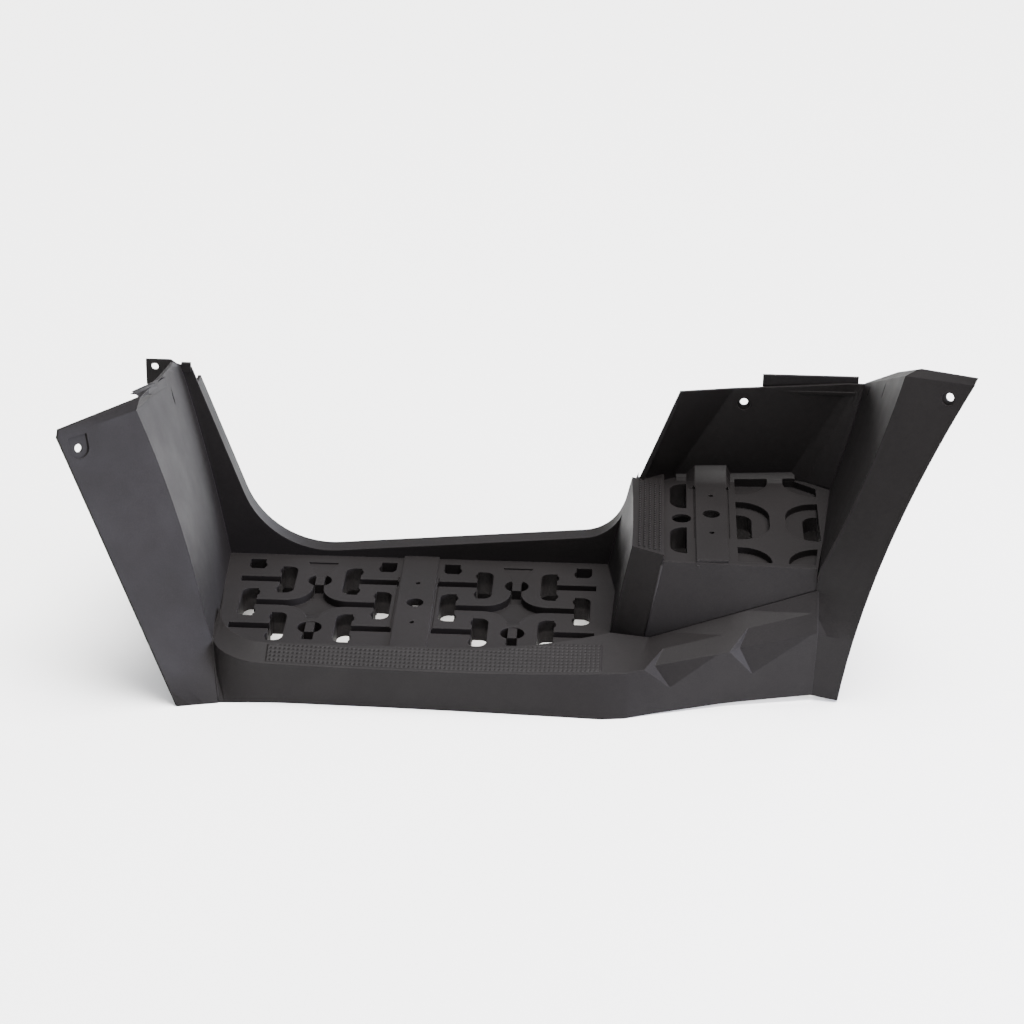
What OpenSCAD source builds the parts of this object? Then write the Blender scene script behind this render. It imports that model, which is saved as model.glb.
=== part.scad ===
/* [Body] */
// Moulded wall thickness
wall = 3; // [2.4:0.1:4]
// Drop from the floor tread to the lower rim
rim_drop = 44; // [30:1:60]
// Draft lean of the inner wall in degrees
wall_lean = 3.4; // [0:0.1:6]
// Inner wall face at floor height, inboard of the floor bolt
back_y = 99.4; // [90:0.2:120]

/* [Floor] */
// Front end of the foot tub at the inner wall
tub_front = -198; // [-230:1:-180]
// Foot of the step riser at the inner wall
tub_rear = 190; // [170:1:220]
// Bow of the riser foot at its middle
riser_bow = 9; // [0:0.5:15]
// Width of the raised bolt strip
strip_w = 36; // [28:1:50]
// Height of the raised bolt strip
strip_h = 2.4; // [1:0.2:5]
// Bolt hole diameter in the strips
bolt_d = 17; // [10:0.5:22]
// Diameter of the seat boss under each bolt hole
boss_d = 24; // [20:0.5:25]
// Height of the seat boss
boss_h = 3; // [1:0.5:6]
// Small peg hole diameter in the strips
peg_d = 5; // [3:0.5:8]
// Distance of each floor peg hole from the bolt hole
peg_gap = 41; // [30:1:50]

/* [Tread] */
// Tread panel centre, forward and rearward of the bolt strip
panel_x = 100; // [85:1:115]
// Row pitch of the mud holes
row_pitch = 49.2; // [44:0.2:54]
// Row position of the middle mud holes
row_mid = -4; // [-20:0.5:20]
// Near mud hole offset from the panel centre
near_x = 32.5; // [28:0.5:40]
// Far mud hole offset from the panel centre
far_x = 67.5; // [60:0.5:74]
// Mud hole width
mud_w = 16; // [12:0.5:20]
// Mud hole length
mud_l = 57; // [44:1:64]
// Mud hole corner radius
mud_r = 9; // [4:0.5:12]
// Mud hole collar depth
mud_deep = 25; // [14:1:34]
// Tread groove width
groove_w = 11; // [7:0.5:14]
// Tread groove depth
groove_deep = 8; // [4:0.5:12]
// Radius of the star arcs
star_r = 27; // [20:0.5:34]
// Diameter of the round well on the panel centre
well_d = 24; // [18:0.5:30]
// Bridge width across the round well
bridge_w = 9; // [6:0.5:12]

/* [Sill and skirt] */
// Height of the sill above the floor
sill_h = 8; // [4:0.5:14]
// Sill inner edge, outboard of the bolt
sill_y = 101; // [90:1:115]
// Crease between sill and skirt, outboard of the bolt
crease_y = 133; // [120:1:145]
// Length of the rounded sill corner
corner_l = 55; // [40:1:70]
// Skirt foot, outboard of the bolt at the rear of the tub
skirt_y = 139; // [128:1:150]
// Skirt foot at the rear guard
skirt_end_y = 90; // [80:1:110]
// Rise of the crease to the rear guard
crease_rise = 31; // [15:1:45]
// Depth of the diamond dents
dent_deep = 9; // [4:0.5:12]

/* [Step] */
// Height of the passenger step panels
step_z = 88; // [70:1:110]
// Extra height of the ribbed nose
nose_h = 7; // [3:0.5:12]
// Front edge of the nose
nose_x = 215; // [205:1:230]
// Rear edge of the nose
nose_end = 246; // [238:1:256]
// Inner wall face behind the step
step_back = 130; // [118:1:140]
// Outer edge of the step
step_y = 63; // [55:1:75]
// Centre of the step bolt strip
step_strip = 293; // [285:1:300]
// Step strip width
step_strip_w = 31; // [26:1:40]
// Step bolt hole, inboard of the floor bolt line
step_bolt_y = 40; // [30:1:50]
// Depth of the step pockets
pocket_deep = 7; // [4:0.5:16]
// Rear end of the step at the outer edge
step_end = 393; // [380:1:400]

/* [Guards] */
// Front guard top corner, forward of the bolt
front_tip_x = -321; // [-340:1:-300]
// Front guard top corner height
front_tip_z = 233; // [210:1:250]
// Front guard outer edge at the rim
front_foot_x = -219; // [-235:1:-205]
// Front guard crease top
front_crease_x = -257; // [-270:1:-245]
// Rear guard top corner height
rear_tip_z = 293; // [270:1:310]
// Rear guard outer edge at the rim
rear_foot_x = 418; // [405:1:430]
// Rear guard crease top
rear_crease_x = 464; // [450:1:480]
// Mounting hole diameter in the guards and walls
tab_hole_d = 8; // [5:0.5:10]
// Depth of the dished seats round the guard holes
seat_deep = 1.8; // [0.5:0.1:2.5]
// Height of the rolled top lip of the guards
lip_h = 8; // [4:0.5:12]

/* [Inner wall] */
// Height of the inner wall at the front guard
wall_top = 203; // [180:1:220]
// Radius of the front bend of the low opening
gap_r = 94; // [60:1:120]
// Radius of the rear bend of the low opening
gap_rear_r = 45; // [25:1:60]
// Slope of the low edge in degrees
gap_slope = 5; // [0:0.5:10]
// Width of the rolled flange round the low opening
flange_w = 22; // [8:1:26]

/* [Hidden] */

skin = [0.09, 0.09, 0.1];

// blend of two values or points
function mix(a, b, t) = a + (b - a) * t;
function unit(a) = [cos(a), sin(a)];
function hump(t) = 4 * t * (1 - t);

// a sheet of moulded wall: seen from its show side the rows run down and
// the columns run right, and each point is backed off by its own vector
module sheet(rows, backs, flips = []) {
    m = len(rows);
    n = len(rows[0]);
    top = [for (r = rows) for (p = r) p];
    low = [for (i = [0:m - 1]) for (j = [0:n - 1])
        rows[i][j] + (is_num(backs[i][0]) ? backs[i] : backs[i][j])];
    k = m * n;
    function id(i, j) = i * n + j;
    cells = [for (i = [0:m - 2]) for (j = [0:n - 2]) [i, j]];
    function up(i, j) = len([for (f = flips) if (f == [i, j]) 1]) > 0;
    faces = concat(
        [for (c = cells) let (a = id(c[0], c[1]), b = a + 1, u = a + n, d = u + 1)
            up(c[0], c[1]) ? [a, b, u] : [a, b, d]],
        [for (c = cells) let (a = id(c[0], c[1]), b = a + 1, u = a + n, d = u + 1)
            up(c[0], c[1]) ? [b, d, u] : [a, d, u]],
        [for (c = cells) let (a = k + id(c[0], c[1]), b = a + 1, u = a + n, d = u + 1)
            up(c[0], c[1]) ? [u, b, a] : [d, b, a]],
        [for (c = cells) let (a = k + id(c[0], c[1]), b = a + 1, u = a + n, d = u + 1)
            up(c[0], c[1]) ? [u, d, b] : [u, d, a]],
        [for (j = [0:n - 2]) for (h = [0, 1]) let (a = id(0, j), b = a + 1)
            h == 0 ? [b, a, a + k] : [b, a + k, b + k]],
        [for (j = [0:n - 2]) for (h = [0, 1]) let (u = id(m - 1, j), d = u + 1)
            h == 0 ? [u, d, d + k] : [u, d + k, u + k]],
        [for (i = [0:m - 2]) for (h = [0, 1]) let (a = id(i, 0), u = a + n)
            h == 0 ? [a, u, u + k] : [a, u + k, a + k]],
        [for (i = [0:m - 2]) for (h = [0, 1]) let (b = id(i, n - 1), d = b + n)
            h == 0 ? [d, b, b + k] : [d, b + k, d + k]]);
    polyhedron(points = concat(top, low), faces = faces, convexity = 8);
}

// a coarse net of points drawn finer, straight between its own lines
function refine(net, n, m) = let (r = len(net), c = len(net[0]))
    [for (i = [0:(r - 1) * n]) let (a = min(r - 2, floor(i / n)), u = i / n - a)
        [for (j = [0:(c - 1) * m]) let (b = min(c - 2, floor(j / m)), v = j / m - b)
            mix(mix(net[a][b], net[a][b + 1], v), mix(net[a + 1][b], net[a + 1][b + 1], v), u)]];
module patch(rows, backs, n, m) {
    full = [for (i = [0:len(rows) - 1]) [for (j = [0:len(rows[0]) - 1])
        is_num(backs[i][0]) ? backs[i] : backs[i][j]]];
    sheet(refine(rows, n, m), refine(full, n, m));
}

// sill edges as functions of the place along the tub
function sill_in_y(x) = -sill_y + (x > 40 ? 41 * pow((x - 40) / 156, 2) : 0);
function sill_out_y(x) = -crease_y + (x > 60 ? 9 * pow((x - 60) / 152, 2)
    : 6 * pow((60 - x) / 193, 2));
function foot_y(x) = -127 - (skirt_y - 127) * pow(max(0, x + 129) / 317, 1.5);
corner_x = -135;
corner_in = 71;
corner_out = 43;
corner_n = 6;
// rounded front corner: angle 0 at the guard, 90 at the straight sill
corner_a = [for (i = [0:corner_n]) 90 * i / corner_n];
run_x = [-96, -20, 40, 66, 89, 108, 125, 141, 156, 176, 196];
function run_out(x) = x + 16 * max(0, (x - 40) / 156);
sill_in = concat(
    [for (a = corner_a) [corner_x - corner_l * cos(a) - (a == 0 ? 1.6 : 0),
        -sill_y + corner_in * (1 - sin(a)), sill_h]],
    [for (x = run_x) [x, sill_in_y(x), sill_h]]);
sill_out = concat(
    [for (a = corner_a) [corner_x + 2 - (corner_l + 3) * cos(a) - (a == 0 ? 1.6 : 0),
        sill_out_y(corner_x) + corner_out * (1 - sin(a)), -1 + 5 * pow(cos(a), 2)]],
    [for (x = run_x) [run_out(x), sill_out_y(run_out(x)), -1]]);
sill_foot = concat(
    [for (a = corner_a) [corner_x + 5 - (corner_l - 3) * cos(a) - (a == 0 ? 1.6 : 0),
        -127 - 3 * cos(a), -rim_drop]],
    [for (x = run_x) [run_out(x), foot_y(min(188, run_out(x)))
        + (run_out(x) > 196 ? 3 : 0), -rim_drop]]);

// rear quarter of the skirt: base of the step face, crease and foot
base_a = [228, -66, 5];
base_b = [step_end, -70, 66];
crease_a = sill_out[len(sill_out) - 1];
crease_b = [step_end, -92, crease_rise];
foot_a = sill_foot[len(sill_foot) - 1];
foot_b = [step_end - 2, -skirt_end_y, -38];
function base_at(t) = mix(base_a, base_b, t);
function crease_at(t) = mix(crease_a, crease_b, t);
function foot_at(t) = mix(foot_a, foot_b, t) + [0, 5 * hump(t), 0];
// dents: start, deepest place, upper corner, lower corner and end along the crease
dent_one = [0.1, 0.15, 0.16, 0.24, 0.49];
dent_two = [0.55, 0.6, 0.63, 0.68, 0.985];
inward = [0.1, 0.95, -0.3];
function plain_col(t) = [base_at(t), mix(base_at(t), crease_at(t), 0.5), crease_at(t),
    mix(crease_at(t), foot_at(t), 0.5), foot_at(t)];
function dent_col(d, up_t, low_t) = [
    base_at(d[1]),
    mix(crease_at(d[2]), base_at(d[2]), up_t),
    crease_at(d[1]) + inward * dent_deep,
    mix(crease_at(d[3]), foot_at(d[3]), low_t),
    foot_at(d[1])];
sill_cols = [for (i = [0:len(sill_in) - 1])
    [sill_in[i], mix(sill_in[i], sill_out[i], 0.5), sill_out[i],
        mix(sill_out[i], sill_foot[i], 0.5), sill_foot[i]]];
rear_cols = [plain_col(0.04), plain_col(dent_one[0]), dent_col(dent_one, 0.52, 0.5),
    plain_col(dent_one[4]), plain_col(dent_two[0]), dent_col(dent_two, 0.52, 0.5),
    plain_col(dent_two[4]), plain_col(1.015)];

module sill_skirt() {
    // sill, skirt and the facet between step and crease with the two dents
    cols = concat(sill_cols, rear_cols);
    n = len(sill_cols);
    sheet([for (i = [0:4]) [for (c = cols) c[i]]],
        [[0, 0.6, -wall], [0, 1, -wall], [0, wall, -wall], [0, wall, -0.5], [0, wall, 0]],
        [[1, n + 1], [2, n + 2], [1, n + 4], [2, n + 5]]);
    // short riser between floor and sill
    sheet([[for (i = [n - 1:-1:0]) sill_in[i] + [0, -0.5, -1]],
           [for (i = [n - 1:-1:0]) sill_in[i] + [0, 1.4, -sill_h - wall]]],
        [[0, -wall + 0.6, 0], [0, -wall, 0]]);
}

// mud hole outline, flat side on the origin and round side towards +x
module mud(g) {
    translate([-g, -mud_l / 2 - g]) square([mud_w - mud_r + g, mud_l + 2 * g]);
    translate([-g, -mud_l / 2 + mud_r]) square([mud_w + 2 * g, mud_l - 2 * mud_r]);
    for (s = [-1, 1]) translate([mud_w - mud_r, s * (mud_l / 2 - mud_r)]) circle(mud_r + g, $fn = 40);
}

module both() { children(); mirror([1, 0]) children(); }

// mud holes of one panel
module mud_set(g) {
    both() {
        for (r = [-1, 1])
            translate([near_x + mud_w / 2, row_mid + r * row_pitch]) mirror([1, 0]) mud(g);
        translate([far_x - mud_w / 2, row_mid]) mud(g);
    }
}

// blind half pockets at the ends of the panel
module end_set(g) {
    both() for (r = [-1, 1]) intersection() {
        translate([far_x - mud_w / 2, row_mid + 2 * row_pitch]) mud(g);
        translate([40, row_mid + 1.45 * row_pitch - g]) square([50, 21 + 2 * g]);
    }
}

// straight grooves of one panel
module groove_set(g) {
    both() {
        for (r = [-1, 1]) translate([near_x + 6, row_mid + r * row_pitch - groove_w / 2 - g])
            square([42 + g, groove_w + 2 * g]);
        translate([star_r / 2, row_mid - groove_w / 2 - g])
            square([far_x - mud_w / 2 - star_r / 2 + 1, groove_w + 2 * g]);
    }
}

// star between four round lands
module star(g) {
    h = star_r + groove_w / 2;
    translate([0, row_mid]) difference() {
        square([2 * h - 2, 2 * h - 2], center = true);
        for (a = [-1, 1]) for (b = [-1, 1]) translate([a * h, b * h]) circle(star_r - g, $fn = 56);
    }
}

// round wells either side of a bridge, with a slot running to the star
module wells(g) {
    for (r = [-1, 1]) translate([0, row_mid + r * row_pitch]) {
        circle(well_d / 2 + g, $fn = 48);
        translate([-groove_w / 2 - g, -star_r + 2 - g]) square([groove_w + 2 * g, star_r - 2 + g]);
    }
}

module tread_pockets() {
    for (s = [-1, 1]) translate([s * panel_x, 0, 0]) {
        translate([0, 0, -mud_deep - 2]) linear_extrude(mud_deep + 4) mud_set(0);
        translate([0, 0, -groove_deep - 3]) linear_extrude(groove_deep + 4) end_set(0);
        translate([0, 0, -groove_deep]) linear_extrude(groove_deep + 1) groove_set(0);
        // star floor falls away from the rear bridge
        intersection() {
            translate([0, 0, -groove_deep]) linear_extrude(groove_deep + 1) star(0);
            rotate([90, 0, 90]) translate([0, 0, -60]) linear_extrude(120)
                polygon([[row_mid - row_pitch, -1], [row_mid - 8, -groove_deep],
                    [row_mid + star_r, -groove_deep], [row_mid + star_r + 6, 2],
                    [row_mid - row_pitch, 2]]);
        }
        difference() {
            translate([0, 0, -groove_deep - 3]) linear_extrude(groove_deep + 4) wells(0);
            for (r = [-1, 1]) translate([-bridge_w / 2, row_mid + r * row_pitch - 8, -30])
                cube([bridge_w, 30, 29.2]);
        }
        // shallow hollow in front of the inner wall
        translate([0, 0, -2]) linear_extrude(3)
            polygon([[-15.5, back_y - 15], [15.5, back_y - 15],
                [bridge_w / 2, row_mid + row_pitch + 8], [-bridge_w / 2, row_mid + row_pitch + 8]]);
    }
}

module tread_bodies() {
    w = wall - 0.4;
    for (s = [-1, 1]) translate([s * panel_x, 0, 0]) {
        translate([0, 0, -mud_deep]) linear_extrude(mud_deep - 1) mud_set(w);
        translate([0, 0, -groove_deep - wall - 3]) linear_extrude(groove_deep + 5) {
            end_set(w);
            wells(w);
        }
        translate([0, 0, -groove_deep - wall]) linear_extrude(groove_deep + 2) {
            groove_set(w);
            star(w);
        }
    }
}

floor_plan = concat(
    [for (p = sill_in) [p[0], p[1] - 1]],
    [[tub_rear + riser_bow + 2, 41], [tub_rear + 2.5, back_y + 1.5], [tub_front - 1.5, back_y + 1.5]]);

module floor_board() {
    difference() {
        union() {
            translate([0, 0, -wall]) linear_extrude(wall) polygon(floor_plan);
            intersection() {
                tread_bodies();
                translate([0, 0, -40]) linear_extrude(50) polygon(floor_plan);
            }
            translate([-strip_w / 2, -sill_y - 1, -wall])
                cube([strip_w, sill_y + back_y + 2, wall + strip_h]);
        }
        intersection() {
            tread_pockets();
            translate([-260, -sill_y + 2, -60]) cube([520, sill_y + back_y - 4, 80]);
        }
        // pinched slits each side of the strip
        for (s = [-1, 1]) translate([s * (strip_w / 2 + 2.4) - 0.6, row_mid - row_pitch, -1.6])
            cube([1.2, 2 * row_pitch + 12, 8]);
    }
    // seat boss round the bolt hole, below the strip
    translate([0, 0, -wall - boss_h]) cylinder(d = boss_d, h = boss_h + 1, $fn = 64);
    // stiffening ribs under the strip
    for (s = [-1, 1]) translate([s * (strip_w / 2 - 3) - 1.3, -crease_y + 6, -rim_drop + 8])
        cube([2.6, crease_y + back_y - 5, rim_drop - 8 - wall + 1]);
}

// low opening of the inner wall, measured in the plane of the wall
gap_front_a = 110.4;
gap_rear_a = 68;
gap_q = [-157.7, 0.5];
gap_len = 353.5;
gap_p = gap_q + gap_len * unit(gap_slope);
gap_t1 = gap_r * tan((180 - gap_front_a + gap_slope) / 2);
gap_t2 = gap_rear_r * tan((gap_rear_a - gap_slope) / 2);
gap_c1 = gap_q + gap_t1 * unit(gap_slope) + gap_r * unit(gap_slope + 90);
gap_c2 = gap_p - gap_t2 * unit(gap_slope) + gap_rear_r * unit(gap_slope + 90);
gap_n = 16;
function gap_path(g) = concat(
    [gap_c1 + (gap_r + g) * unit(gap_front_a + 90) + 180 * unit(gap_front_a)],
    [for (i = [0:gap_n]) gap_c1 + (gap_r + g) * unit(mix(gap_front_a + 90, gap_slope + 270, i / gap_n))],
    [for (i = [0:gap_n / 2]) gap_c2 + (gap_rear_r + g)
        * unit(mix(gap_slope + 270, gap_rear_a + 270, 2 * i / gap_n))],
    [gap_c2 + (gap_rear_r + g) * unit(gap_rear_a + 270) + 230 * unit(gap_rear_a)]);

module wall_outline() {
    difference() {
        polygon([[tub_front - 45, wall_top], [tub_front - 1, -wall], [tub_front + 1, -rim_drop],
            [222, -rim_drop], [222, 85], [262, 191], [262, 240], [tub_front - 45, 240]]);
        polygon(gap_path(0));
        translate([-400, wall_top]) square([800, 80]);
    }
}

// inner wall of the foot tub with its rolled flange
module inner_wall() {
    translate([0, back_y, 0]) rotate([90 - wall_lean, 0, 0]) mirror([0, 0, 1]) {
        linear_extrude(wall) difference() {
            wall_outline();
            translate([256, 150]) square([60, 60]);
        }
        // rolled flange round the low opening
        linear_extrude(flange_w) intersection() {
            difference() {
                polygon(gap_path(wall));
                polygon(gap_path(0));
            }
            translate([tub_front - 32, -20]) square([450, wall_top + 4]);
        }
        // front tab
        linear_extrude(wall) difference() {
            translate([tub_front - 81, wall_top])
                polygon([[0, -19], [0, 7.5], [25, 7.5], [37, -1], [37, -19]]);
            translate([tub_front - 72, wall_top]) circle(d = tab_hole_d - 0.6, $fn = 40);
        }
        // hook above the front end of the flange
        translate([tub_front - 45, wall_top - 4, -2]) cube([9.5, 9, 4.5]);
    }
}

// inner wall behind the step, set back inboard, in three facets
wall_rear_top = 191;
module rear_wall() {
    patch([[[259.5, 111, wall_rear_top], [313, step_back - 1, wall_rear_top - 3],
            [428, step_back + 1.4, 195.5], [437, step_back + 1.4, 195.5], [445.5, step_back + 1, 195.5]],
           [[224, 105.6, 102], [257, step_back - 3, 94],
            [372, step_back, step_z + 2], [390, 124.6, step_z + 2], [416.5, 106.7, step_z + 2]],
           [[205, 100, -rim_drop], [250, step_back - 4, -rim_drop],
            [372, step_back - 2, -rim_drop], [388, 122, -rim_drop], [404, 106.5, -rim_drop]]],
        [[-0.6, wall, 0], [-0.6, wall, 0], [0, wall, 0]], 4, 3);
    // set back tab on the top edge
    translate([342, step_back + 4, 184]) cube([96, wall, 18]);
    translate([342, step_back, 184]) cube([96, 6, wall]);
}

// shell faces of the step: riser, cut corner and outer face
riser_back = 104;
module step_faces() {
    top = step_z + nose_h;
    patch([[[213.5, riser_back + 6, top + 0.5], [nose_x + 1, 30, top], [nose_x, -43, top],
        [nose_end, -60, top]],
           [[tub_rear, riser_back, -wall + 0.5], [tub_rear + riser_bow, 41, -wall + 0.5],
            [195, -47, -wall + 0.5], base_a + [0, 1, -wall]]],
        [[[wall, 0, -0.5], [wall, 0, 0], [wall, wall * 0.7, 0], [0, wall, 0]],
         [[wall, 0, 0], [wall, 0, 0], [wall, wall * 0.7, 0], [0, wall, 0]]], 4, 2);
    sheet([[[nose_end - 1, -59.8, step_z], [step_end + 1, -step_y - 3, step_z]],
           [base_a + [1, 1, -wall], base_b + [1, 1, -wall]]],
        [[0, wall, 0], [0, wall, 0]]);
    // upstand between nose and panels
    translate([nose_end - wall, -58, step_z - wall - 1]) cube([wall, 172 + 14, nose_h + wall]);
}

step_plan = [[nose_end - 2, -58.5], [nose_end + 30, -60.5], [step_end + 1, -step_y - 1.5],
    [417, 108.5], [380, step_back + 1.5], [258, step_back - 1], [nose_end - 2, 122]];
nose_plan = [[nose_x + 1, -42.5], [nose_end - 0.4, -59], [nose_end - 0.4, 124], [230, 118],
    [nose_x - 0.5, 108]];

// half round pocket, flat side on the origin
module half_pocket(w, l, g) {
    r = min(w - 2, l / 2 - 2);
    intersection() {
        union() {
            square([2 * (w - r), l + 2 * g], center = true);
            translate([-g, -l / 2 + r]) square([w + 2 * g, l - 2 * r]);
            for (s = [-1, 1]) translate([w - r, s * (l / 2 - r)]) circle(r + g, $fn = 64);
        }
        translate([-g, -l / 2 - g]) square([w + 2 * g, l + 2 * g]);
    }
}
pocket_w = 33;
pocket_l = 83;
pocket_pitch = 99.4;
pocket_y = 33.6;
pocket_xa = step_strip + 24.7;
pocket_xb = step_end + 6.5;
hole_w = 15.5;
hole_far = 59;
hole_drop = 15.5;
module step_pockets(g) {
    for (r = [-1, 0, 1]) {
        translate([pocket_xa, pocket_y + r * pocket_pitch]) half_pocket(pocket_w, pocket_l, g);
        translate([pocket_xb, pocket_y + r * pocket_pitch]) mirror([1, 0])
            half_pocket(pocket_w, pocket_l, g);
    }
}
module step_holes(g) {
    near = pocket_y - pocket_l / 2 + 1.6;
    for (side = [0, 1]) translate([side ? pocket_xb : pocket_xa, (near + hole_far) / 2])
        mirror([side, 0]) half_pocket(hole_w, hole_far - near, g);
}
module slot_pockets(g) {
    for (y = [85, -13]) translate([268.5, y]) mirror([1, 0]) half_pocket(16.5, 56, g);
}

// cove profile: distance from the wall, and height beside and on the strip
cove_in = [-28, -18, -10, -5, -2, 0.6];
cove_up = [-0.6, -0.6, 0.2, 2.2, 5.4, 9.2];
strip_up = [2.4, 4.2, 7.6, 11.4, 14.6, 17.4];
cove_x = [for (d = [-35, -step_strip_w / 2 - 9, -step_strip_w / 2 - 0.5, step_strip_w / 2 + 0.5,
    step_strip_w / 2 + 5, 86]) step_strip + d];
function on_strip(x) = abs(x - step_strip) < step_strip_w / 2 + 1;

module step_top() {
    w = wall - 0.4;
    zone = [[nose_end + 2, -54], [step_end - 1, -58], [409, 103], [378, step_back - 4], [nose_end + 2, 122]];
    difference() {
        union() {
            translate([0, 0, step_z - wall]) linear_extrude(wall) polygon(step_plan);
            translate([0, 0, step_z + nose_h - wall]) linear_extrude(wall) polygon(nose_plan);
            translate([step_strip - step_strip_w / 2, -60, step_z - wall])
                cube([step_strip_w, 60 + step_back - 0.5, wall + 3]);
            // cove between panels and inner wall, swept up higher at the strip
            sheet([for (k = [len(cove_in) - 1:-1:0]) [for (x = cove_x)
                    [x, step_back + cove_in[k], step_z + (on_strip(x) ? strip_up[k] : cove_up[k])]]],
                [for (k = [len(cove_in) - 1:-1:0]) [0, k > 2 ? 1.2 : 0, -2]]);
            translate([0, 0, step_z - pocket_deep - wall]) linear_extrude(pocket_deep + 1)
                intersection() {
                    step_pockets(w);
                    polygon(step_plan);
                }
            translate([0, 0, step_z - pocket_deep - hole_drop]) linear_extrude(hole_drop) step_holes(w);
            translate([0, 0, step_z - 24]) linear_extrude(23) slot_pockets(w);
        }
        translate([0, 0, step_z - pocket_deep]) linear_extrude(pocket_deep + 8) intersection() {
            step_pockets(0);
            polygon(zone);
        }
        translate([0, 0, step_z - 40]) linear_extrude(44) step_holes(0);
        translate([0, 0, step_z - 40]) linear_extrude(44) slot_pockets(0);
        translate([263.5, 34.5, step_z - 20]) cylinder(d = 19, h = 40, $fn = 48);
        // pinched slits each side of the strip
        for (s = [-1, 1]) translate([step_strip + s * (step_strip_w / 2 + 1.8) - 0.6, -8, step_z - 1.6])
            cube([1.2, 113, 8]);
    }
    // ribs along the nose
    for (i = [0:4]) translate([nose_x + 6 + i * 5, -43 - i * 2.6 + 1, step_z + nose_h - 0.6])
        cube([2.4, 150 + i * 2.6, 1.6]);
    // seat boss round the bolt hole and a web each side of it
    translate([step_strip, step_bolt_y, step_z - wall - boss_h])
        cylinder(d = boss_d, h = boss_h + 1, $fn = 64);
    for (s = [-1, 1]) translate([step_strip + s * (step_strip_w / 2 - 1.6) - 1.3, -step_y + 1, step_z - 40])
        cube([2.6, step_y + step_back - 4, 40 - wall + 1]);
}

// front guard: outer edge, crease and corner with the inner wall
function gf_out(t) = [mix(front_tip_x, front_foot_x, t), mix(-128, -140, t), mix(front_tip_z, -rim_drop, t)];
function gf_crease(t) = [mix(front_crease_x, -191, t) + 6 * hump(min(1, t * 1.1)), mix(-70, -92, t),
    mix(front_tip_z + 4, 6, t)];
function gf_wall(t) = [mix(tub_front - 45, tub_front, t) + 2.8 * hump(t), mix(111.8, back_y - 0.5, t),
    mix(wall_top, -1, t)];
gf_n = 10;
gf_cuts = [0.12, 0.25, 0.4, 0.55, 0.7, 0.85, 0.95];
function gf_top(y) = let (d = y + 70) [mix(-253, -249.5, d / 170) + 3 * hump(d / 182), y,
    front_tip_z + 18 - 0.2 * d - 0.00013 * d * d];
function gf_line(a, b, c) = concat([a], [mix(a, b, 0.33), mix(a, b, 0.67)], [b],
    [for (k = gf_cuts) mix(b, c, k)], [c]);
module front_guard() {
    lip = [1, 2.4, lip_h - 1];
    top_out = gf_out(0) + lip;
    top_crease = gf_crease(0) + [4, 0, lip_h + 5];
    rows = concat(
        [concat([top_out, mix(top_out, top_crease, 0.33), mix(top_out, top_crease, 0.67), top_crease],
            [for (k = gf_cuts) gf_top(mix(-70, 108, k))], [gf_wall(0) + [0, 1.5, 2]])],
        [for (i = [0:gf_n]) let (t = i / gf_n)
            gf_line(gf_out(t * 0.825), gf_crease(t), gf_wall(t) + [0, 1.5, 0])],
        [for (u = [0.33, 0.67, 1]) gf_line(
            mix(gf_out(0.825), [front_foot_x, -140, -rim_drop], u),
            mix(gf_crease(1), [-181, -131, -rim_drop], u),
            mix(gf_wall(1), [-198, back_y + 1, -rim_drop], u) + [0, 1.5 - u, 0])]);
    back = concat([[-2.2, 2.2, 0], [-2.4, 1.9, 0], [-2.6, 1.6, 0], [-wall, 1.2, 0]],
        [for (k = gf_cuts) [-wall, 0, 0]], [[-wall, 0, 0]]);
    sheet(rows, [for (r = rows) back]);
    // rolled rear edge along the outer side
    low = [for (i = [1:len(rows) - 1]) rows[i]];
    sheet([for (r = low) [r[0] + [-2.2, 1, 0], r[0] + [0.4, 0.6, 0]]],
        [for (r = low) [[0, 9, 0], [0, 9, 0]]]);
    // beak where the top edge turns forward
    sheet([[[-262, -60, 252], [-252.5, -30, 246], [-247.5, 0, 238]],
           [[-252.5, -66, 248], [-249.5, -40, 241], [-247.5, -4, 232]]],
        [[-1, 2.4, -1], [-1, 2.4, -1]]);
}

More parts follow.
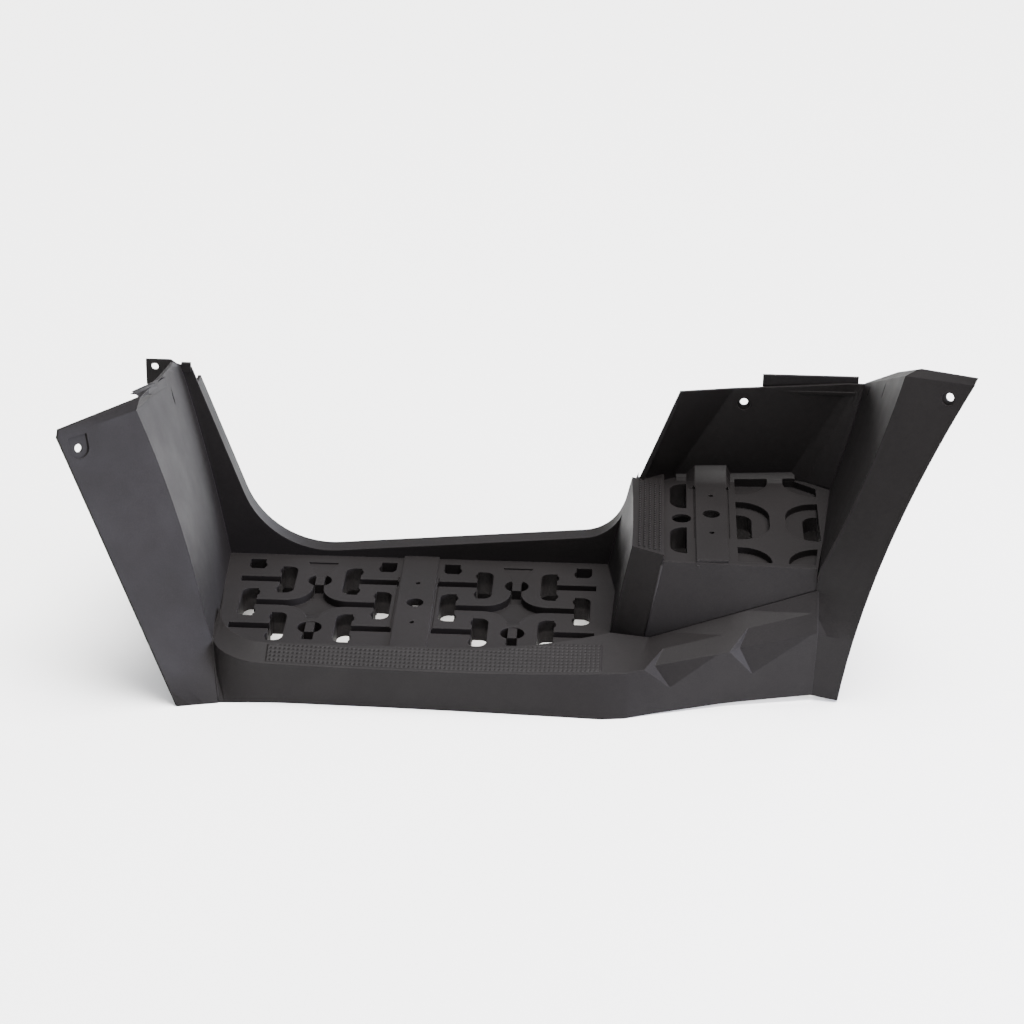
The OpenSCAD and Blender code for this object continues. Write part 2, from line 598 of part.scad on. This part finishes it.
// rear guard: corner with the inner wall, crease and outer edge
function gr_out(z) = let (h = z + 43) [rear_foot_x + 0.1235 * h + 0.00058 * h * h,
    -92 - 4 * hump(h / 336) + 7 * pow(h / 336, 3), z];
function gr_crease(t) = [mix(rear_crease_x, 395, t) + 5 * hump(t), mix(-58, -70, t),
    mix(rear_tip_z - 4, step_z + 1, t)];
function gr_wall(t) = [mix(444, 414.5, t) + 1.5 * hump(t), mix(step_back + 1, 107, t),
    mix(196, step_z + 2, t)];
gr_n = 12;
gr_cuts = [0.15, 0.35, 0.55, 0.75];
function gr_line(a, b, c) = concat([a], [for (k = gr_cuts) mix(a, b, k)], [b],
    [mix(b, c, 0.33), mix(b, c, 0.67)], [c]);
module rear_guard() {
    tuck = [0, 1.8, 0];
    top_wall = gr_wall(0) + [1, 1.8, 1];
    top_mid = [465, 20, 259];
    top_crease = gr_crease(0) + [11.6, 2, lip_h - 1.5];
    top_out = gr_out(rear_tip_z) + [3, 3, lip_h - 2.6];
    rows = concat(
        [concat([top_wall, mix(top_wall, top_mid, 0.3), mix(top_wall, top_mid, 0.65), top_mid,
            mix(top_mid, top_crease, 0.45)], [top_crease],
            [mix(top_crease, top_out, 0.33), mix(top_crease, top_out, 0.67)], [top_out])],
        [for (i = [0:gr_n]) let (t = i / gr_n)
            gr_line(gr_wall(t) + tuck, gr_crease(t), gr_out(mix(rear_tip_z, 97, t)))],
        [for (u = [0.5, 1]) gr_line(mix([414.5, 107, 90], [411, 107, 66], u) + tuck,
            mix(gr_crease(1), base_b + [0, 1, 0], u), gr_out(mix(97, 62, u)))],
        [for (u = [0.5, 1]) gr_line(mix([411, 107, 66], [408, 107, 31], u) + tuck,
            mix(base_b, crease_b, u) + [0, 1, 0], gr_out(mix(62, 25, u)))],
        [for (u = [0.33, 0.67, 1]) gr_line(mix([408, 107, 31], [402, 107, -38], u) + tuck,
            mix(crease_b, foot_b, u) + [0, 1, 0], gr_out(mix(25, -42, u)))]);
    back = concat([for (k = [0:5]) [wall, k == 5 ? 1.6 : 0, 0]], [[2, 2.2, 0], [1.4, 2.5, 0], [1, 2.8, 0]]);
    sheet(rows, [for (r = rows) back]);
    // rolled rear edge along the outer side
    low = [for (i = [1:len(rows) - 1]) rows[i]];
    sheet([for (r = low) [r[8] + [-1.6, 0.6, 0], r[8] + [0.8, 0.8, 0]]],
        [for (r = low) [[0, 9, 0], [0, 9, 0]]]);
}

// hole axes along the show face: a point on the face and its normal
function face_normal(a, b, c) = let (n = cross(b - a, c - a)) n / norm(n);
module drill(p, n, d, l) {
    translate(p) rotate([0, acos(n[2]), atan2(n[1], n[0])]) translate([0, 0, -l / 2])
        cylinder(d = d, h = l, $fn = 40);
}
front_hole_p = mix(gf_out(0.055), gf_crease(0.067), 0.1875);
front_hole_n = -face_normal(gf_out(0.04), gf_crease(0.04), gf_out(0.3));
rear_hole_p = mix(gr_crease(0.072), gr_out(mix(rear_tip_z, 97, 0.072)), 0.75);
rear_hole_n = -face_normal(gr_crease(0.06), gr_out(rear_tip_z - 12), gr_crease(0.3));
wall_hole_p = [step_strip + 31, step_back - 0.6, 173];
wall_hole_n = [0, -1, 0];
front_seat_r = 10;
front_seat_up = 12;
small_seat_r = 6.6;

// dished seat round a hole, open towards the top edge: outline with margin g
module seat(r, up_l, g) {
    circle(r + g, $fn = 40);
    translate([-r - g, 0]) square([2 * (r + g), up_l]);
}
// frame on a face: z out of the face, y up along it
module on_face(p, n) {
    translate(p) rotate([0, 0, atan2(n[1], n[0]) + 90]) rotate([acos(n[2]), 0, 0]) children();
}
module seat_body(p, n, r, up_l) {
    on_face(p, n) translate([0, 0, -seat_deep - wall + 0.4]) linear_extrude(wall) seat(r, up_l, 2);
}
module seat_cut(p, n, r, up_l) {
    on_face(p, n) translate([0, 0, -seat_deep]) linear_extrude(12) seat(r, up_l, 0);
}
// long narrow pinch mark from a to b in a face with normal n
module pinch(a, b, n, w) {
    dir = (b - a) / norm(b - a);
    side = [-n[1], n[0], 0] / norm([n[0], n[1]]);
    turn = atan2(dir * side, dir * cross(n, side));
    l = norm(b - a);
    on_face((a + b) / 2, n) rotate([0, 0, -turn]) translate([0, 0, -2.2]) linear_extrude(8)
        polygon([[0, -l / 2], [w / 2, -l / 4], [w / 2, l / 8], [0, l / 2],
            [-w / 2, l / 8], [-w / 2, -l / 4]]);
}
front_pinch = [mix(gf_crease(0.12), gf_wall(0.12), 0.66), mix(gf_crease(0.035), gf_wall(0.035), 0.69)];
front_pinch_n = -face_normal(gf_crease(0.04), gf_wall(0.04), gf_crease(0.3));
rear_pinch_n = -face_normal(gr_wall(0.04), gr_crease(0.04), gr_wall(0.3));
rear_pinches = [for (k = [[0.13, 0.16, 0.025, 0.173], [0.12, 0.573, 0.01, 0.567]])
    [mix(gr_wall(k[0]), gr_crease(k[0]), k[1]), mix(gr_wall(k[2]), gr_crease(k[2]), k[3])]];

module mount_holes() {
    // floor bolt and its pegs
    translate([0, 0, -20]) cylinder(d = bolt_d, h = 40, $fn = 64);
    for (s = [-1, 1]) translate([0, s * peg_gap, -20]) cylinder(d = peg_d, h = 40, $fn = 32);
    // step bolt and its pegs
    translate([step_strip, step_bolt_y, step_z - 20]) cylinder(d = bolt_d, h = 40, $fn = 64);
    for (s = [-1, 1]) translate([step_strip, step_bolt_y + s * peg_gap, step_z - 20])
        cylinder(d = peg_d, h = 40, $fn = 32);
    seat_cut(front_hole_p, front_hole_n, front_seat_r, front_seat_up);
    seat_cut(rear_hole_p + [-0.8, 0, -1.2], rear_hole_n, small_seat_r, 0.01);
    seat_cut(wall_hole_p + [0, 0, -1.5], wall_hole_n, small_seat_r, 0.01);
    pinch(front_pinch[0], front_pinch[1], front_pinch_n, 3);
    for (p = rear_pinches) pinch(p[0], p[1], rear_pinch_n, 2.8);
    drill(front_hole_p, front_hole_n, tab_hole_d, 24);
    drill(rear_hole_p, rear_hole_n, tab_hole_d, 24);
    drill(wall_hole_p, wall_hole_n, tab_hole_d, 30);
}

module footrest_board() {
    color(skin) difference() {
        union() {
            floor_board();
            sill_skirt();
            inner_wall();
            rear_wall();
            step_faces();
            step_top();
            front_guard();
            rear_guard();
            seat_body(front_hole_p, front_hole_n, front_seat_r, front_seat_up - 4);
            seat_body(rear_hole_p, rear_hole_n, small_seat_r, 0.01);
            seat_body(wall_hole_p, wall_hole_n, small_seat_r, 0.01);
        }
        mount_holes();
    }
}

footrest_board();
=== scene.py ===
import bpy
import bmesh
import math
from mathutils import Matrix, Vector
from mathutils.bvhtree import BVHTree


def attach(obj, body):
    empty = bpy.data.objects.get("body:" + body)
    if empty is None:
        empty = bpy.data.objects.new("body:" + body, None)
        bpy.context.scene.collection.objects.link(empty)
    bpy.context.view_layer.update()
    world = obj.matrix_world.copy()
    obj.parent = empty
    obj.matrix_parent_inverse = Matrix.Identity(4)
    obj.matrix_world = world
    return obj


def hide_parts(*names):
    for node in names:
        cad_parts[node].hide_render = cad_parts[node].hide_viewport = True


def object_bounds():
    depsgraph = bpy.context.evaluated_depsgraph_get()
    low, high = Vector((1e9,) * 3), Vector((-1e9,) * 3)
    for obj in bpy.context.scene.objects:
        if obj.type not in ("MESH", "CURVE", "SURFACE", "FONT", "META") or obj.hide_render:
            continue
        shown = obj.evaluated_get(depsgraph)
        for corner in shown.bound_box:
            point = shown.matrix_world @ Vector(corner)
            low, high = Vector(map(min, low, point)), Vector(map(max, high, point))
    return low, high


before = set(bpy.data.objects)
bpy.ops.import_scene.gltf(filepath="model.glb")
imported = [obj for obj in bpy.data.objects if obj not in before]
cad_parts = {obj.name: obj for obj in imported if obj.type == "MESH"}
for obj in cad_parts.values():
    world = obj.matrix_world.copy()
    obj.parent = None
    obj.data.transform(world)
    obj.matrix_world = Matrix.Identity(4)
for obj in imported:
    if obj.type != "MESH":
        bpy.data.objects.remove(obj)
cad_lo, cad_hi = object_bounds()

scene = bpy.context.scene
MM = 0.001


def link(o):
    scene.collection.objects.link(o)
    return o


def mesh_object(name, verts, faces, smooth=True):
    """Object from points in mm."""
    me = bpy.data.meshes.new(name)
    me.from_pydata([Vector(v) * MM for v in verts], [], faces)
    me.update()
    for p in me.polygons:
        p.use_smooth = smooth
    return link(bpy.data.objects.new(name, me))


# Material: satin black polypropylene
def node_of(nt, kind, values=None, **sets):
    """New node with its properties and its inputs set."""
    n = nt.nodes.new(kind)
    for key, value in sets.items():
        setattr(n, key, value)
    for key, value in (values or {}).items():
        n.inputs[key].default_value = value
    return n


def ramp_of(nt, source, low, high, dark, light):
    """Source mapped from low..high to dark..light."""
    n = node_of(nt, "ShaderNodeMapRange",
                {"From Min": low, "From Max": high, "To Min": dark, "To Max": light})
    nt.links.new(source, n.inputs["Value"])
    return n.outputs["Result"]


def tint(nt, colour, factor):
    """Colour times a factor that varies over the surface."""
    n = node_of(nt, "ShaderNodeMix", {"Factor": 1.0}, data_type="RGBA", blend_type="MULTIPLY")
    nt.links.new(colour, n.inputs[6])
    nt.links.new(factor, n.inputs[7])
    return n.outputs[2]


def moulded_plastic(name, base, edge_radius):
    """Fine grained plastic with flow marks, speckle, rounded edges, and colour a little lighter
    along every edge, convex and concave alike.
    """
    m = bpy.data.materials.new(name)
    m.use_nodes = True
    nt = m.node_tree
    nt.nodes.clear()
    out = node_of(nt, "ShaderNodeOutputMaterial")
    sh = node_of(nt, "ShaderNodeBsdfPrincipled", {"IOR": 1.5, "Specular IOR Level": 0.12})
    nt.links.new(sh.outputs["BSDF"], out.inputs["Surface"])
    place = node_of(nt, "ShaderNodeTexCoord").outputs["Object"]

    def noise(scale, detail):
        n = node_of(nt, "ShaderNodeTexNoise", {"Scale": scale, "Detail": detail})
        nt.links.new(place, n.inputs["Vector"])
        return n.outputs["Fac"]

    # rounded edges
    soft = node_of(nt, "ShaderNodeBevel", {"Radius": edge_radius}, samples=6)
    geo = node_of(nt, "ShaderNodeNewGeometry")
    same = node_of(nt, "ShaderNodeVectorMath", operation="DOT_PRODUCT")
    nt.links.new(soft.outputs["Normal"], same.inputs[0])
    nt.links.new(geo.outputs["Normal"], same.inputs[1])
    # colour: slow flow marks, fine speckle and a faint lightening along every edge, convex and
    # concave alike
    flat = node_of(nt, "ShaderNodeRGB")
    flat.outputs[0].default_value = (*base, 1)
    colour = tint(nt, flat.outputs[0], ramp_of(nt, noise(9.0, 4.0), 0.3, 0.7, 0.86, 1.16))
    colour = tint(nt, colour, ramp_of(nt, noise(900.0, 2.0), 0.35, 0.7, 0.85, 1.2))
    colour = tint(nt, colour, ramp_of(nt, same.outputs["Value"], 0.99, 0.86, 1.0, 1.6))
    nt.links.new(colour, sh.inputs["Base Color"])
    # satin, with slow variation
    satin = ramp_of(nt, noise(26.0, 5.0), 0.3, 0.7, 0.57, 0.65)
    nt.links.new(satin, sh.inputs["Roughness"])
    # spark-eroded grain
    cells = node_of(nt, "ShaderNodeTexVoronoi", {"Scale": 1100.0})
    nt.links.new(place, cells.inputs["Vector"])
    height = node_of(nt, "ShaderNodeMath", operation="ADD")
    nt.links.new(noise(1400.0, 3.0), height.inputs[0])
    nt.links.new(cells.outputs["Distance"], height.inputs[1])
    grain = node_of(nt, "ShaderNodeBump", {"Strength": 0.16, "Distance": 0.00025})
    nt.links.new(height.outputs["Value"], grain.inputs["Height"])
    nt.links.new(soft.outputs["Normal"], grain.inputs["Normal"])
    nt.links.new(grain.outputs["Normal"], sh.inputs["Normal"])
    return m


BLACK = (0.0052, 0.0044, 0.0045)
EDGE_RADIUS = 0.8
plastic = moulded_plastic("moulded_black", BLACK, EDGE_RADIUS * MM)


def dress(o):
    """Plastic on a piece of the board, which rides on the one body."""
    o.data.materials.append(plastic)
    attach(o, "root")
    return o


# Shading: flat faces are kept flat and curved ones smooth
FLAT = math.radians(0.6)
FOLD = math.radians(15.0)
CORNER_FOLD = math.radians(42.0)
CORNER_BOX = ((-0.192, -0.14, -0.06), (-0.146, -0.085, 0.02))
NO_ANGLE = 9.0
WELD = 0.02


def flat_regions(bm):
    """Number the groups of coplanar faces, each with its area times its normal."""
    region = {}
    pull = []
    for seed in bm.faces:
        if seed in region:
            continue
        region[seed] = len(pull)
        total = Vector()
        stack = [seed]
        while stack:
            f = stack.pop()
            total += f.normal * f.calc_area()
            for e in f.edges:
                for g in e.link_faces:
                    if g not in region and g.normal.angle(seed.normal, NO_ANGLE) < FLAT:
                        region[g] = len(pull)
                        stack.append(g)
        pull.append(total)
    return region, pull


def fold_at(co):
    """Widest soft fold: wider where the sill turns its front corner."""
    inside = all(lo <= c <= hi for lo, c, hi in zip(CORNER_BOX[0], co, CORNER_BOX[1]))
    return CORNER_FOLD if inside else FOLD


def fan_of(loop):
    """Faces round the loop's corner that a soft edge joins to its own."""
    limit = fold_at(loop.vert.co)
    seen = {loop.face}
    stack = [loop.face]
    while stack:
        f = stack.pop()
        for e in f.edges:
            if loop.vert not in e.verts or e.calc_face_angle(NO_ANGLE) > limit:
                continue
            for g in e.link_faces:
                if g not in seen:
                    seen.add(g)
                    stack.append(g)
    return seen


def shade_by_folds(me):
    """Shading normals from the flat regions that meet at each corner."""
    bm = bmesh.new()
    bm.from_mesh(me)
    bmesh.ops.remove_doubles(bm, verts=bm.verts, dist=WELD * MM)
    region, pull = flat_regions(bm)
    normals = []
    for f in bm.faces:
        f.smooth = True
        for loop in f.loops:
            groups = {region[g] for g in fan_of(loop)}
            normals.append(sum((pull[k] for k in groups), Vector()).normalized() or f.normal)
    bm.to_mesh(me)
    bm.free()
    me.normals_split_custom_set(normals)


# Board: the solid's own mesh
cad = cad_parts["footrest_board"]
tree = BVHTree.FromObject(cad, bpy.context.evaluated_depsgraph_get())
to_cad = cad.matrix_world.inverted()
skin = link(bpy.data.objects.new("board_skin", cad.data.copy()))
skin.data.materials.clear()
for p in skin.data.polygons:
    p.material_index = 0
if "custom_normal" in skin.data.attributes:
    skin.data.attributes.remove(skin.data.attributes["custom_normal"])
shade_by_folds(skin.data)
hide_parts("footrest_board")
dress(skin)


# Beads in the open corners: riser to step face, front guard to sill, step face to sill
def bead(name, points, radius, sides=12):
    """Round bead along points in mm, closed at both ends."""
    pts = [Vector(p) for p in points]
    verts = []
    for i, p in enumerate(pts):
        along = (pts[min(i + 1, len(pts) - 1)] - pts[max(i - 1, 0)]).normalized()
        across = along.cross(Vector((0, 1, 0))).normalized()
        third = along.cross(across)
        for k in range(sides):
            a = math.tau * k / sides
            verts.append(p + radius * (math.cos(a) * across + math.sin(a) * third))
    faces = [tuple(range(sides - 1, -1, -1)), tuple(range(len(verts) - sides, len(verts)))]
    for i in range(len(pts) - 1):
        for k in range(sides):
            a = i * sides + k
            b = i * sides + (k + 1) % sides
            faces.append((a, b, b + sides, a + sides))
    return dress(mesh_object(name, verts, faces))


bead("riser_bead", [(243.9, -59.6, 84.0), (228.9, -63.6, 4.5)], 1.4)
bead("guard_bead", [(-191.0, -90.2, 4.2), (-189.4, -95.3, -1.5), (-188.2, -100.6, -7.5),
                    (-187.0, -105.3, -13.8), (-185.6, -110.9, -19.4), (-184.5, -115.6, -25.6),
                    (-183.1, -120.6, -31.8), (-182.1, -125.0, -38.1), (-181.2, -128.6, -42.5)], 1.4)
bead("step_foot_bead", [(227.0, -64.9, 2.6), (393.5, -69.25, 64.6)], 1.1)


def sheet_of(name, upper, lower, back):
    """Closed thin sheet between two lines of points in mm, with the thickness given by back."""
    n = len(upper)
    front = [Vector(p) for p in (*upper, *lower)]
    verts = front + [v + Vector(back) for v in front]
    faces = []
    for i in range(n - 1):
        faces.append((i, i + n, i + n + 1, i + 1))
        faces.append((2 * n + i, 2 * n + i + 1, 3 * n + i + 1, 3 * n + i))
    rim = [*range(n), *range(2 * n - 1, n - 1, -1)]
    for a, b in zip(rim, rim[1:] + rim[:1]):
        faces.append((a, b, b + 2 * n, a + 2 * n))
    o = mesh_object(name, verts, faces)
    shade_by_folds(o.data)
    return dress(o)


# Floor in the open corner at the step's foot
sheet_of("step_foot_floor", [(194.5, -44.5, -0.3), (206.0, -51.0, -0.4), (229.5, -63.6, 3.0)],
         [(194.5, -61.8, -0.3), (206.0, -62.6, -0.4), (229.5, -65.8, 3.0)], (0.0, 0.0, -2.2))

# Beak: the guard's inner face runs on to the tip in one smooth sheet, shaded as that face is
GUARD_FACING = (0.95, -0.03, 0.31)
BEAK_SHIFT = (0.3, -1.5, 0.4)
FACING_COS = 0.5
beak = sheet_of("beak_face",
                [(-261.6, -63.8, 252.0), (-257.6, -55.0, 251.2), (-253.4, -43.0, 248.9),
                 (-250.2, -26.0, 244.4), (-248.6, -6.0, 237.2), (-247.4, 14.0, 231.6),
                 (-246.2, 33.0, 226.6)],
                [(-261.4, -63.6, 251.4), (-256.0, -51.5, 245.6), (-252.6, -35.5, 238.6),
                 (-250.6, -15.0, 229.2), (-248.9, 6.0, 222.6), (-247.2, 24.0, 218.0),
                 (-245.6, 40.0, 214.0)], (-1.6, 0.3, -0.6))
beak.data.transform(Matrix.Translation(Vector(BEAK_SHIFT) * MM))
facing = []
for p in beak.data.polygons:
    own = p.normal.dot(Vector(GUARD_FACING)) < FACING_COS
    facing += [tuple(p.normal) if own else GUARD_FACING] * p.loop_total
beak.data.normals_split_custom_set(facing)

# Rounded beads along the five ridges of the step's nose
RIDGE_X0, RIDGE_PITCH, RIDGE_TOP, RIDGES = 222.2, 5.0, 95.9, 5
BEAD_Y0, BEAD_SLANT, BEAD_PITCH, BEADS = -39.0, -2.6, 5.0, 29
BEAD_HALF_X, BEAD_HALF_Y, BEAD_HIGH = 1.5, 1.9, 0.9
DOME_RINGS = ((1.0, 0.0), (0.8, 0.6), (0.45, 0.9))


def domes(name, centres, half_x, half_y, high, sides=10):
    """Small rounded bumps, each closed below, in one piece."""
    verts = []
    faces = []
    for c in centres:
        first = len(verts)
        for share, up in DOME_RINGS:
            for k in range(sides):
                a = math.tau * k / sides
                out = Vector((half_x * share * math.cos(a), half_y * share * math.sin(a), high * up))
                verts.append(Vector(c) + out)
        verts.append(Vector(c) + Vector((0.0, 0.0, high)))
        top = len(verts) - 1
        faces.append(tuple(first + sides - 1 - k for k in range(sides)))
        second = first + sides
        third = second + sides
        for k in range(sides):
            n = (k + 1) % sides
            faces.append((first + k, first + n, second + n, second + k))
            faces.append((second + k, second + n, third + n, third + k))
            faces.append((third + k, third + n, top))
    return dress(mesh_object(name, verts, faces))


ridge_beads = []
for i in range(RIDGES):
    for k in range(BEADS):
        y = BEAD_Y0 + BEAD_SLANT * i + BEAD_PITCH * k
        ridge_beads.append((RIDGE_X0 + i * RIDGE_PITCH, y, RIDGE_TOP))
domes("nose_beads", ridge_beads, BEAD_HALF_X, BEAD_HALF_Y, BEAD_HIGH)

# Sill grip: a low raised field with small round pits, on the sill's top face
PIP_X0, PIP_X1, PIP_COLS = -131.8, 186.0, 74
PIP_PITCH_Y, PIP_ROWS, ROW_SPARE = 4.65, 9, 0.3
PIP_R, PIP_DEEP, PIP_STEEP, PIP_CLEAR = 1.55, 1.0, 2.2, 1.5
FIELD_LIFT, FIELD_EDGE, FIELD_BITE = 1.05, 1.6, 0.05
FIELD_MARGIN, FIELD_END = 2.4, 0.8
FIELD_SINK = 1.2
FIELD_NX, FIELD_NY = 592, 60
CREASE_X, CREASE_Y = 60.0, -133.0
CREASE_REAR_BEND, CREASE_REAR_RUN = 9.0, 152.0
CREASE_FRONT_BEND, CREASE_FRONT_RUN = 6.0, 193.0
INNER_X, INNER_Y, INNER_BEND, INNER_RUN = 40.0, -101.0, 41.0, 156.0
ABOVE = 60.0
pip_pitch_x = (PIP_X1 - PIP_X0) / (PIP_COLS - 1)
field_x0 = PIP_X0 - FIELD_END * pip_pitch_x
field_x1 = PIP_X1 + FIELD_END * pip_pitch_x


def drop(x, y):
    """Height of the board's top surface at x, y, all in mm."""
    start = to_cad @ (Vector((x, y, ABOVE)) * MM)
    hit = tree.ray_cast(start, to_cad.to_3x3() @ Vector((0, 0, -1)))[0]
    return (cad.matrix_world @ hit).z / MM


def crease_line(x):
    """Outer fold of the sill, bent inboard towards both ends."""
    if x > CREASE_X:
        return CREASE_Y + CREASE_REAR_BEND * ((x - CREASE_X) / CREASE_REAR_RUN) ** 2
    return CREASE_Y + CREASE_FRONT_BEND * ((CREASE_X - x) / CREASE_FRONT_RUN) ** 2


def inner_line(x):
    """Inner edge of the sill, bent inboard towards the rear."""
    if x > INNER_X:
        return INNER_Y + INNER_BEND * ((x - INNER_X) / INNER_RUN) ** 2
    return INNER_Y


def field_width(x):
    """Width of the field: the rows, or what the sill leaves."""
    rows = FIELD_MARGIN + (PIP_ROWS - ROW_SPARE) * PIP_PITCH_Y
    return min(inner_line(x) - crease_line(x) - FIELD_MARGIN - FIELD_EDGE, rows)


def pip_depth(x, s):
    """Depth of the pits at x and at the distance s from the field's outer edge."""
    col = min(max(round((x - PIP_X0) / pip_pitch_x), 0), PIP_COLS - 1)
    row = min(max(round((s - FIELD_MARGIN) / PIP_PITCH_Y), 0), PIP_ROWS - 1)
    cx = PIP_X0 + col * pip_pitch_x
    cs = FIELD_MARGIN + row * PIP_PITCH_Y
    if cs > field_width(cx) - PIP_CLEAR:
        return 0.0
    t = max(0.0, 1.0 - math.hypot(x - cx, s - cs) / PIP_R)
    return PIP_DEEP * min(1.0, PIP_STEEP * t * t * (3.0 - 2.0 * t))


def field_mesh(nu, nv):
    """Closed mesh of the field: the top faces come first."""
    verts = []
    for i in range(nu + 1):
        for j in range(nv + 1):
            x = field_x0 + (field_x1 - field_x0) * i / nu
            wide = field_width(x)
            s = wide * j / nv
            rim = min(s, wide - s, x - field_x0, field_x1 - x)
            lift = FIELD_LIFT * min(1.0, rim / FIELD_EDGE) - FIELD_BITE
            y = crease_line(x) + FIELD_MARGIN + s
            verts.append((x, y, drop(x, y) + lift - pip_depth(x, s)))
    faces = []
    for i in range(nu):
        for j in range(nv):
            a = i * (nv + 1) + j
            faces.append((a, a + nv + 1, a + nv + 2, a + 1))
    # underside, sunk in the sill's wall
    base = len(verts)
    for i in range(nu + 1):
        for j in (0, nv):
            x, y, z = verts[i * (nv + 1) + j]
            verts.append((x, y, z - FIELD_SINK))
    for i in range(nu):
        a = i * (nv + 1)
        b = base + 2 * i
        faces.append((b, b + 1, b + 3, b + 2))
        faces.append((a, b, b + 2, a + nv + 1))
        faces.append((a + nv, a + 2 * nv + 1, b + 3, b + 1))
    end = nu * (nv + 1)
    faces.append((*range(nv + 1), base + 1, base))
    faces.append((base + 2 * nu, base + 2 * nu + 1, *range(end + nv, end - 1, -1)))
    return verts, faces


pips = mesh_object("sill_pips", *field_mesh(FIELD_NX, FIELD_NY))
for p in pips.data.polygons[FIELD_NX * FIELD_NY:]:
    p.use_smooth = False
dress(pips)

# Stage: a plain pale floor just below the board
FLOOR_HALF, FLOOR_GAP = 9000, 0.3
paper = bpy.data.materials.new("pale_paper")
paper.use_nodes = True
paper_shader = paper.node_tree.nodes["Principled BSDF"]
paper_shader.inputs["Base Color"].default_value = (0.9, 0.895, 0.885, 1)
paper_shader.inputs["Roughness"].default_value = 0.6
floor_z = cad_lo.z / MM - FLOOR_GAP
corners = [(-1, -1), (1, -1), (1, 1), (-1, 1)]
floor = mesh_object("floor", [(x * FLOOR_HALF, y * FLOOR_HALF, floor_z) for x, y in corners],
                    [(0, 1, 2, 3)], smooth=False)
floor.data.materials.append(paper)

# Light: a dim room, a high soft sun, a low cool one behind, a cool window on the right
# and small lamps below the board
world = bpy.data.worlds.new("studio")
scene.world = world
world.use_nodes = True
sky = world.node_tree
room = sky.nodes["Background"]
room.inputs["Color"].default_value = (0.96, 0.97, 1.0, 1)
aim = node_of(sky, "ShaderNodeSeparateXYZ")
sky.links.new(node_of(sky, "ShaderNodeTexCoord").outputs["Generated"], aim.inputs[0])
sky.links.new(ramp_of(sky, aim.outputs["Z"], 0.6, 1.0, 0.3, 5.0), room.inputs["Strength"])


def lamp(kind, name, loc, target, energy, colour):
    """Lamp at loc that points at target, both in metres."""
    data = bpy.data.lights.new(name, kind)
    data.energy = energy
    data.color = colour
    o = link(bpy.data.objects.new(name, data))
    o.location = loc
    o.rotation_mode = "QUATERNION"
    o.rotation_quaternion = (Vector(target) - Vector(loc)).to_track_quat("-Z", "Y")
    return data


def sun_lamp(name, loc, angle, energy, colour):
    """Sun that looks angle degrees wide and shines on the origin."""
    data = lamp("SUN", name, loc, (0.0, 0.0, 0.0), energy, colour)
    data.angle = math.radians(angle)


def panel_lamp(name, loc, target, size, energy, colour):
    """Rectangular panel of the given size in metres."""
    data = lamp("AREA", name, loc, target, energy, colour)
    data.shape = "RECTANGLE"
    data.size, data.size_y = size


WARM = (1.0, 0.98, 0.95)
sun_lamp("high_soft", (0.7, -0.3, 3.0), 40, 11.0, (1.0, 0.985, 0.96))
sun_lamp("rim_soft", (1.2, 1.8, 0.5), 30, 2.2, (0.84, 0.87, 1.0))
panel_lamp("window_right", (2.4, -1.0, 0.6), (0.0, 0.0, 0.05), (1.2, 1.0), 200, (0.83, 0.84, 1.0))
panel_lamp("below_floor", (0.0, -0.01, -0.012), (0.0, -0.01, -1.0), (0.34, 0.16), 0.6, WARM)
panel_lamp("below_step", (0.345, 0.02, 0.04), (0.345, 0.02, -1.0), (0.07, 0.1), 0.4, WARM)

# Camera at the photograph's angle
LENS_PX, PHOTO_PX = 2864.0, 1024.0
CAMERA_AT = (0.2048, -2.5152, 1.3623)
CAMERA_LOOK = (-0.03856499, 0.89402508, -0.446354)
CAMERA_TOP = (-0.0296972, 0.44546356, 0.89480741)
cam_data = bpy.data.cameras.new("photo_camera")
cam_data.sensor_width = 36.0
cam_data.lens = LENS_PX / PHOTO_PX * cam_data.sensor_width
cam_data.clip_end = 50
cam = link(bpy.data.objects.new("photo_camera", cam_data))
fwd = Vector(CAMERA_LOOK).normalized()
up = Vector(CAMERA_TOP).normalized()
right = fwd.cross(up).normalized()
up = right.cross(fwd).normalized()
turn = Matrix((right, up, -fwd)).transposed().to_4x4()
cam.matrix_world = Matrix.Translation(CAMERA_AT) @ turn
scene.camera = cam
